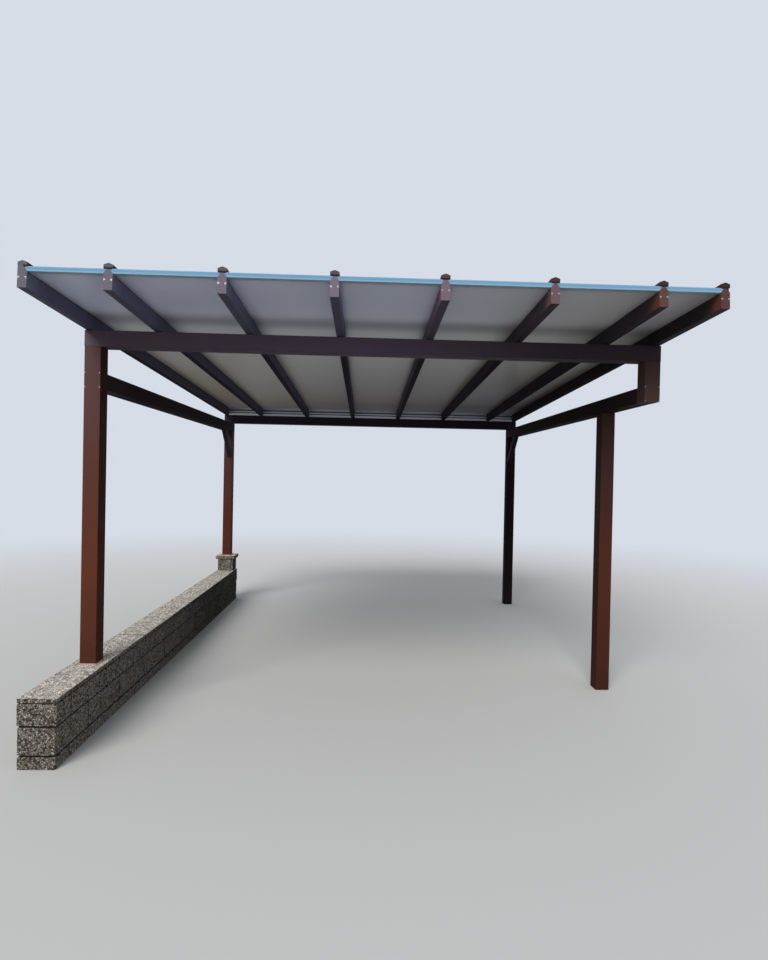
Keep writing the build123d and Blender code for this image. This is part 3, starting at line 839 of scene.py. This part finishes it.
SHEET_DUST = "#9C9588"
DUST_RUNS_PER_METRE = (26.0, 1.1, 1.0)
UNEVEN_PER_METRE = 0.9
SHEET_GLOSS = 0.35
THROUGH_CLEAN_SKIN = 0.45
THROUGH_DULL_SKIN = 0.2

pearl, tree, place = new_material("pearl_multiwall_polycarbonate")
spot = add(tree, "SeparateXYZ", {"Vector": place})
low_end = add(
    tree, "MapRange", {"Value": spot.outputs["Y"], "From Min": SHEET_FRONT, "From Max": SHEET_BACK},
    interpolation_type="SMOOTHSTEP"
)
# The wave texture draws 20 radians of its wave to a unit, so this scale gives one wave to each web.
webs = add(
    tree, "TexWave", {"Vector": place, "Scale": math.tau / 20 / WEB_PITCH},
    wave_type="BANDS", bands_direction="X", wave_profile="SIN"
)
line = add(tree, "MapRange", {"Value": webs.outputs["Fac"], "From Min": 0.8, "To Max": 0.02})
cloud = add(tree, "TexNoise", {"Vector": place, "Scale": UNEVEN_PER_METRE, "Detail": 3.0})
# The front colours are paler at the left as painted light; the colours towards the low end are dirt mixed
# with painted shade, darkest at the right.
cleaner_and_lit = place_colour(
    tree, place, "X", ((-1.8, "#D7D9E2"), (0.3, "#D9DAE0"), (1.5, "#D2D0CE"), (2.0, "#C3C2C1"))
)
dirty = place_colour(
    tree, place, "X",
    ((-1.8, "#D6CFCA"), (-0.6, "#B7B0B4"), (0.8, "#A39DA1"), (1.6, "#7F7C84"), (2.0, "#8E8B91"))
)
dirt_and_shade_towards_back = add(
    tree, "MapRange", {"Value": spot.outputs["Y"], "From Min": DIRT_AND_SHADE_FROM, "From Max": DIRT_AND_SHADE_FULL_AT}
)
uneven = add(
    tree, "MapRange",
    {"Value": cloud.outputs["Fac"], "From Min": 0.3, "From Max": 0.7, "To Min": -0.06, "To Max": 0.06}
)
dirt_and_shade = add(tree, "Math", {0: dirt_and_shade_towards_back.outputs["Result"], 1: uneven.outputs["Result"]}, operation="ADD")
bare = add(tree, "Mix", {0: dirt_and_shade.outputs["Value"], 6: cleaner_and_lit, 7: dirty}, data_type="RGBA")
behind_beam = add(
    tree, "MapRange", {"Value": spot.outputs["Y"], "From Min": WARMER_FROM, "From Max": WARMER_AT}
)
tinted = add(
    tree, "Mix", {0: behind_beam.outputs["Result"], 6: bare.outputs[2], 7: linear(WARMTH)},
    data_type="RGBA", blend_type="MULTIPLY"
)
# A painted light brightens the last stretch of the underside at the back, by the closing strips.
lit_end = add(
    tree, "MapRange",
    {"Value": spot.outputs["Y"], "From Min": REAR_LIGHT_FROM, "From Max": REAR_LIGHT_AT, "To Max": 0.5}
)
wear_and_painted_light = add(
    tree, "Mix",
    {0: lit_end.outputs["Result"], 6: tinted.outputs[2], 7: linear(REAR_LIGHT)}, data_type="RGBA"
)
# Over the front beam lies a soft band of painted shade.
beam_low, beam_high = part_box("front_beam")
from_beam = add(
    tree, "Math", {0: spot.outputs["Y"], 1: (beam_low.y + beam_high.y) / 2}, operation="SUBTRACT"
)
distance = add(tree, "Math", {0: from_beam.outputs["Value"]}, operation="ABSOLUTE")
beam_shade = add(
    tree, "MapRange",
    {"Value": distance.outputs["Value"], "From Min": BEAM_SHADE_REACH, "From Max": 0.0, "To Max": 0.42},
    interpolation_type="SMOOTHSTEP"
)
beam_shaded = add(
    tree, "Mix",
    {0: beam_shade.outputs["Result"], 6: wear_and_painted_light.outputs[2], 7: linear(BEAM_SHADE_COLOUR)}, data_type="RGBA"
)
lined = add(
    tree, "Mix", {0: line.outputs["Result"], 6: beam_shaded.outputs[2], 7: linear(WEB_COLOUR)}, data_type="RGBA"
)
side = add(tree, "SeparateXYZ", {"Vector": add(tree, "NewGeometry").outputs["Normal"]})
upward = add(tree, "MapRange", {"Value": side.outputs["Z"], "From Max": 0.5})
sided = add(
    tree, "Mix", {0: upward.outputs["Result"], 6: lined.outputs[2], 7: linear(TOP_COLOUR)}, data_type="RGBA"
)
runs_place = add(tree, "Mapping", {"Vector": place, "Scale": DUST_RUNS_PER_METRE})
runs = add(tree, "TexNoise", {"Vector": runs_place.outputs["Vector"], "Scale": 1.0, "Detail": 7.0})
drift = add(tree, "MapRange", {"Value": low_end.outputs["Result"], "To Min": 0.15, "To Max": 0.45})
lying = add(tree, "Math", {0: drift.outputs["Result"], 1: runs.outputs["Fac"]}, operation="MULTIPLY")
dust = add(tree, "Math", {0: lying.outputs["Value"], 1: upward.outputs["Result"]}, operation="MULTIPLY")
dusted = add(
    tree, "Mix", {0: dust.outputs["Value"], 6: sided.outputs[2], 7: linear(SHEET_DUST)}, data_type="RGBA"
)
ripple = add(tree, "Bump", {"Strength": 0.02, "Distance": 0.0004, "Height": webs.outputs["Fac"]})
haze = add(tree, "MapRange", {"Value": low_end.outputs["Result"], "To Min": 0.3, "To Max": 0.5})
skin = add(
    tree, "BsdfPrincipled",
    {"Base Color": dusted.outputs[2], "Roughness": haze.outputs["Result"], "IOR": 1.58,
     "Specular IOR Level": SHEET_GLOSS, "Normal": ripple.outputs["Normal"]}
)
through = add(tree, "BsdfTranslucent", {"Color": dusted.outputs[2]})
share = add(
    tree, "MapRange",
    {"Value": low_end.outputs["Result"], "To Min": THROUGH_CLEAN_SKIN, "To Max": THROUGH_DULL_SKIN}
)
shader = add(
    tree, "MixShader", {0: share.outputs["Result"], 1: skin.outputs["BSDF"], 2: through.outputs["BSDF"]}
)
add(tree, "OutputMaterial", {"Surface": shader.outputs["Shader"]})
finish_nodes(pearl, *[f"roof_sheet_{number}" for number in range(1, 8)])


# Sheet edge trims. Pale blue U profiles of rigid PVC, cut to each bay and pushed over the sheets' front and
# back ends to close their chambers.

# Rigid PVC with its blue film left on: smooth and a little wavy, deepest in the middle of the face, and
# paler towards both arrises as painted light: a painted highlight along the top and a painted glow of
# daylight through the film lower down. It is more faded at the right, and palest on the underside, where
# the pale colour is a painted glow of daylight through the film.
WAVES_PER_METRE = 9.0
PALER_FROM = -0.5
PALER_AT = 0.8

blue, tree, place = new_material("filmed_rigid_pvc")
trim_points = [v.co.dot(slope_up) for v in nodes["sheet_edge_trims"].data.vertices]
square = add(tree, "VectorMath", {0: place, 1: slope_up}, operation="DOT_PRODUCT")
rise = add(
    tree, "MapRange",
    {"Value": square.outputs["Value"], "From Min": min(trim_points), "From Max": max(trim_points)}
)
# The paler ends of these bands are painted light: a highlight along the top arris and a glow through the film
# at the bottom.
bands = add(tree, "ValToRGB", {"Fac": rise.outputs["Result"]})
fill_ramp(bands.color_ramp, (
    (0, "#7CB4CC"), (0.3, "#76ABC8"), (0.46, "#5E96BE"), (0.74, "#6098C0"), (0.88, "#7FA6CC"), (1, "#8CB0D2")
))
waves = add(tree, "TexNoise", {"Vector": place, "Scale": WAVES_PER_METRE, "Detail": 3.0})
faded = add(tree, "MapRange", {"Value": waves.outputs["Fac"], "To Max": 0.3})
tone = add(
    tree, "Mix",
    {0: faded.outputs["Result"], 6: bands.outputs["Color"], 7: linear("#82B6CC")}, data_type="RGBA"
)
spot = add(tree, "SeparateXYZ", {"Vector": place})
sunnier = add(
    tree, "MapRange",
    {"Value": spot.outputs["X"], "From Min": PALER_FROM, "From Max": PALER_AT, "To Max": 0.22}
)
paled = add(
    tree, "Mix", {0: sunnier.outputs["Result"], 6: tone.outputs[2], 7: linear("#B4CCE8")}, data_type="RGBA"
)
side = add(tree, "SeparateXYZ", {"Vector": add(tree, "NewGeometry").outputs["Normal"]})
# The underside's pale colour is a painted glow of daylight through the film.
under = add(tree, "MapRange", {"Value": side.outputs["Z"], "From Min": -0.5, "From Max": -0.9})
whole = add(
    tree, "Mix", {0: under.outputs["Result"], 6: paled.outputs[2], 7: linear("#DDF0FA")}, data_type="RGBA"
)
wrinkle = add(tree, "Bump", {"Strength": 0.3, "Distance": 0.002, "Height": waves.outputs["Fac"]})
shader = add(
    tree, "BsdfPrincipled",
    {"Base Color": whole.outputs[2], "Roughness": 0.45, "IOR": 1.53, "Specular IOR Level": 0.25,
     "Normal": wrinkle.outputs["Normal"]}
)
add(tree, "OutputMaterial", {"Surface": shader.outputs["BSDF"]})
finish_nodes(blue, "sheet_edge_trims")


# Cover bars. Gabled aluminium extrusions, coated like the rafters and laid over the sheets' edges. Screws
# of plated steel, one every 0.4 m, pass into the rafters' slotted necks and draw them down on the seals.
finish_nodes(powder_coat("powder_coat_cover_bars"), *[f"cover_bar_{number}" for number in range(1, 9)])
# Across the roof the end caps' colours are painted light and sky reflection at the left, turning to painted
# shade at the right.
cap_coat = powder_coat(
    "powder_coat_end_caps",
    wear_and_painted_light=("X", (
        (-2.1, "#7A8488"), (-0.24, "#66656F"), (0.43, "#5F5863"), (1.1, "#45434C"), (2.16, "#28363B")
    ))
)
finish_nodes(cap_coat, "cover_end_caps")

COVER_SCREW_PITCH = 0.4
COVER_SCREW_END = 0.06
COVER_SCREW_SUNK = 0.0042
COVER_SCREW_HEAD = 0.011
COVER_SCREW_WASHER = 0.014

cover_screws = bmesh.new()
for number in range(1, 9):
    low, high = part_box(f"cover_bar_{number}")
    corners = [v.co for v in nodes[f"cover_bar_{number}"].data.vertices]
    ridge = max(c.dot(slope_up) for c in corners)
    front = min(c.dot(slope_along) for c in corners) + COVER_SCREW_END
    back = max(c.dot(slope_along) for c in corners) - COVER_SCREW_END
    spaces = round((back - front) / COVER_SCREW_PITCH)
    for step in range(spaces + 1):
        along = front + (back - front) * step / spaces
        place = Vector(((low.x + high.x) / 2, 0, 0))
        place += slope_along * along + slope_up * (ridge - COVER_SCREW_SUNK)
        pan_screw(
            cover_screws, place, slope_up, head=COVER_SCREW_HEAD, washer=COVER_SCREW_WASHER, sides=8
        )
finish_piece("cover_bar_screws", cover_screws, zinc, "bare_strip")


# Rear closing strips. Ribbed strips of extruded aluminium that stand on the back beam and close the bays up
# to the sheets, each with one more rib along its top.

# Mill-finish aluminium: drawn lengthwise by the die and lightly oxidised, bright on the ribs' faces and
# dark with painted shade in the channels. The die's lines are too fine for the picture and are drawn 1.4 mm
# apart.
DIE_LINES_PER_METRE = (3.0, 700.0, 700.0)
CHANNEL_STARTS = 0.001
CHANNEL_DEPTH = 0.006

strip_low, strip_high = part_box("rear_closing_strips")
mill, tree, place = new_material("mill_finish_aluminium")
drawn_place = add(tree, "Mapping", {"Vector": place, "Scale": DIE_LINES_PER_METRE})
drawn = add(tree, "TexNoise", {"Vector": drawn_place.outputs["Vector"], "Scale": 1.0, "Detail": 3.0})
tone = add(
    tree, "Mix", {0: drawn.outputs["Fac"], 6: linear("#C3C7CF"), 7: linear("#E3E7EE")}, data_type="RGBA"
)
spot = add(tree, "SeparateXYZ", {"Vector": place})
# The channels, set back from the ribs' faces, take painted shade.
sunk = add(
    tree, "MapRange",
    {"Value": spot.outputs["Y"], "From Min": strip_low.y + CHANNEL_STARTS,
     "From Max": strip_low.y + CHANNEL_DEPTH, "To Max": 0.9}
)
channel_shaded = add(
    tree, "Mix", {0: sunk.outputs["Result"], 6: tone.outputs[2], 7: linear("#3C3E44")}, data_type="RGBA"
)
dull = add(tree, "MapRange", {"Value": drawn.outputs["Fac"], "To Min": 0.25, "To Max": 0.45})
shader = add(
    tree, "BsdfPrincipled",
    {"Base Color": channel_shaded.outputs[2], "Metallic": 0.5, "Roughness": dull.outputs["Result"]}
)
add(tree, "OutputMaterial", {"Surface": shader.outputs["BSDF"]})
finish_nodes(mill, "rear_closing_strips")

TOP_RIB_HEIGHT = 0.024
TOP_RIB_DEPTH = 0.008
TOP_RIB_BACK = 0.01
TOP_RIB_END_GAP = 0.0015

top_ribs = bmesh.new()
rib_y = strip_low.y + TOP_RIB_BACK - TOP_RIB_DEPTH / 2
rib_z = strip_high.z - TOP_RIB_HEIGHT / 2
for number in range(1, 8):
    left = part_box(f"rafter_{number}")[1].x + TOP_RIB_END_GAP
    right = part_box(f"rafter_{number + 1}")[0].x - TOP_RIB_END_GAP
    made = bmesh.ops.create_cube(top_ribs, size=1.0)["verts"]
    bmesh.ops.scale(top_ribs, vec=(right - left, TOP_RIB_DEPTH, TOP_RIB_HEIGHT), verts=made)
    bmesh.ops.translate(top_ribs, vec=((left + right) / 2, rib_y, rib_z), verts=made)
finish_piece("closing_strip_top_ribs", top_ribs, mill, "bare_strip")


# Stage. A pale floor that fades into a pale backdrop, a veiled sun from the front left, a low lamp in front
# at the left and a cool one at the right. What the floor throws back on the part is less than it shows, and
# the backdrop's light grows with the height that it comes from.
FLOOR_HALF = 60.0
FLOOR_SEEN = "#DAD8D4"
FLOOR_THROWN = "#6A6967"
FADE_START = 4.5
FADE_END = 14.0
BACKDROP_COLOUR = "#E6EDF8"
BACKDROP_SEEN = 0.85
BACKDROP_LOW = 0.14
BACKDROP_HIGH = 0.66


def shown_rays(tree):
    """1 for the rays that show the stage: to the camera, in a reflection or through a clear piece."""
    ray = add(tree, "LightPath")
    seen = add(
        tree, "Math",
        {0: ray.outputs["Is Camera Ray"], 1: ray.outputs["Is Glossy Ray"]}, operation="MAXIMUM"
    )
    shown = add(
        tree, "Math", {0: seen.outputs["Value"], 1: ray.outputs["Is Transmission Ray"]}, operation="MAXIMUM"
    )
    return shown.outputs["Value"]


stage = bmesh.new()
bmesh.ops.create_grid(stage, x_segments=1, y_segments=1, size=FLOOR_HALF)
mesh = bpy.data.meshes.new("floor")
stage.to_mesh(mesh)
stage.free()
floor = bpy.data.objects.new("floor", mesh)
bpy.context.scene.collection.objects.link(floor)
pale_floor, tree, place = new_material("pale_floor")
shown = shown_rays(tree)
tone = add(tree, "Mix", {0: shown, 6: linear(FLOOR_THROWN), 7: linear(FLOOR_SEEN)}, data_type="RGBA")
near = add(tree, "BsdfDiffuse", {"Color": tone.outputs[2]})
away = add(tree, "VectorMath", {0: place}, operation="LENGTH")
fade = add(
    tree, "MapRange", {"Value": away.outputs["Value"], "From Min": FADE_START, "From Max": FADE_END},
    interpolation_type="SMOOTHSTEP"
)
faded = add(tree, "Math", {0: fade.outputs["Result"], 1: shown}, operation="MULTIPLY")
far = add(tree, "Emission", {"Color": linear(BACKDROP_COLOUR), "Strength": BACKDROP_SEEN})
whole = add(
    tree, "MixShader", {0: faded.outputs["Value"], 1: near.outputs["BSDF"], 2: far.outputs["Emission"]}
)
add(tree, "OutputMaterial", {"Surface": whole.outputs["Shader"]})
floor.data.materials.append(pale_floor)

world = bpy.data.worlds.new("backdrop")
bpy.context.scene.world = world
world.use_nodes = True
tree = world.node_tree
upwards = add(tree, "TexCoord").outputs["Generated"]
direction = add(tree, "SeparateXYZ", {"Vector": upwards})
thrown = add(
    tree, "MapRange", {"Value": direction.outputs["Z"], "To Min": BACKDROP_LOW, "To Max": BACKDROP_HIGH}
)
strength = add(tree, "Mix", {0: shown_rays(tree), 2: thrown.outputs["Result"], 3: BACKDROP_SEEN})
backdrop = tree.nodes["Background"]
backdrop.inputs["Color"].default_value = linear(BACKDROP_COLOUR)
tree.links.new(strength.outputs[0], backdrop.inputs["Strength"])

SUN_PLACE = (-5.0, -12.0, 9.0)
SUN_STRENGTH = 2.2
SUN_WIDTH = 0.6
LAMPS = (
    ("low_lamp", (-7.0, -14.0, 3.0), (0, 0, 2.2), 6.0, 150.0, "#FFF6EE"),
    ("right_lamp", (12.0, -9.0, 2.0), (0, 0, 2.4), 5.0, 130.0, "#CFDDFF"),
)


def place_lamp(lamp, place, aim):
    """Hangs a lamp at its place, turned to its aim and unseen by the camera."""
    holder = bpy.data.objects.new(lamp.name, lamp)
    holder.location = place
    holder.rotation_euler = (Vector(aim) - Vector(place)).to_track_quat("-Z", "Y").to_euler()
    holder.visible_camera = False
    bpy.context.scene.collection.objects.link(holder)


sun = bpy.data.lights.new("veiled_sun", "SUN")
sun.energy = SUN_STRENGTH
sun.angle = SUN_WIDTH
place_lamp(sun, SUN_PLACE, (0, 0, 0))
for name, place, aim, size, power, colour in LAMPS:
    lamp = bpy.data.lights.new(name, "AREA")
    lamp.size = size
    lamp.energy = power
    lamp.color = linear(colour)[:3]
    place_lamp(lamp, place, aim)

# Camera, as fitted to the photograph: where it stood, how it was turned, and its focal length in pixels.
CAMERA_PLACE = Vector((-0.0305, -6.0276, 1.8863))
CAMERA_TURN = -0.03219
CAMERA_TILT = -0.00831
CAMERA_ROLL = 0.02046
PICTURE_HEIGHT = 960
FOCAL_PIXELS = 567.9
SENSOR = 36.0
SEEN_TO = 300.0

ahead = Vector((-math.sin(CAMERA_TURN), math.cos(CAMERA_TURN), 0))
right = Vector((math.cos(CAMERA_TURN), math.sin(CAMERA_TURN), 0))
up = Vector((0, 0, 1))
look = ahead * math.cos(CAMERA_TILT) + up * math.sin(CAMERA_TILT)
head = -ahead * math.sin(CAMERA_TILT) + up * math.cos(CAMERA_TILT)
rolled_right = right * math.cos(CAMERA_ROLL) + head * math.sin(CAMERA_ROLL)
rolled_head = -right * math.sin(CAMERA_ROLL) + head * math.cos(CAMERA_ROLL)
turn = Matrix((rolled_right, rolled_head, -look)).transposed().to_4x4()
lens = bpy.data.cameras.new("camera")
lens.sensor_width = SENSOR
lens.lens = FOCAL_PIXELS * SENSOR / PICTURE_HEIGHT
lens.clip_end = SEEN_TO
camera = bpy.data.objects.new("camera", lens)
camera.matrix_world = Matrix.Translation(CAMERA_PLACE) @ turn
bpy.context.scene.collection.objects.link(camera)
bpy.context.scene.camera = camera
bpy.context.scene.view_settings.view_transform = "Standard"
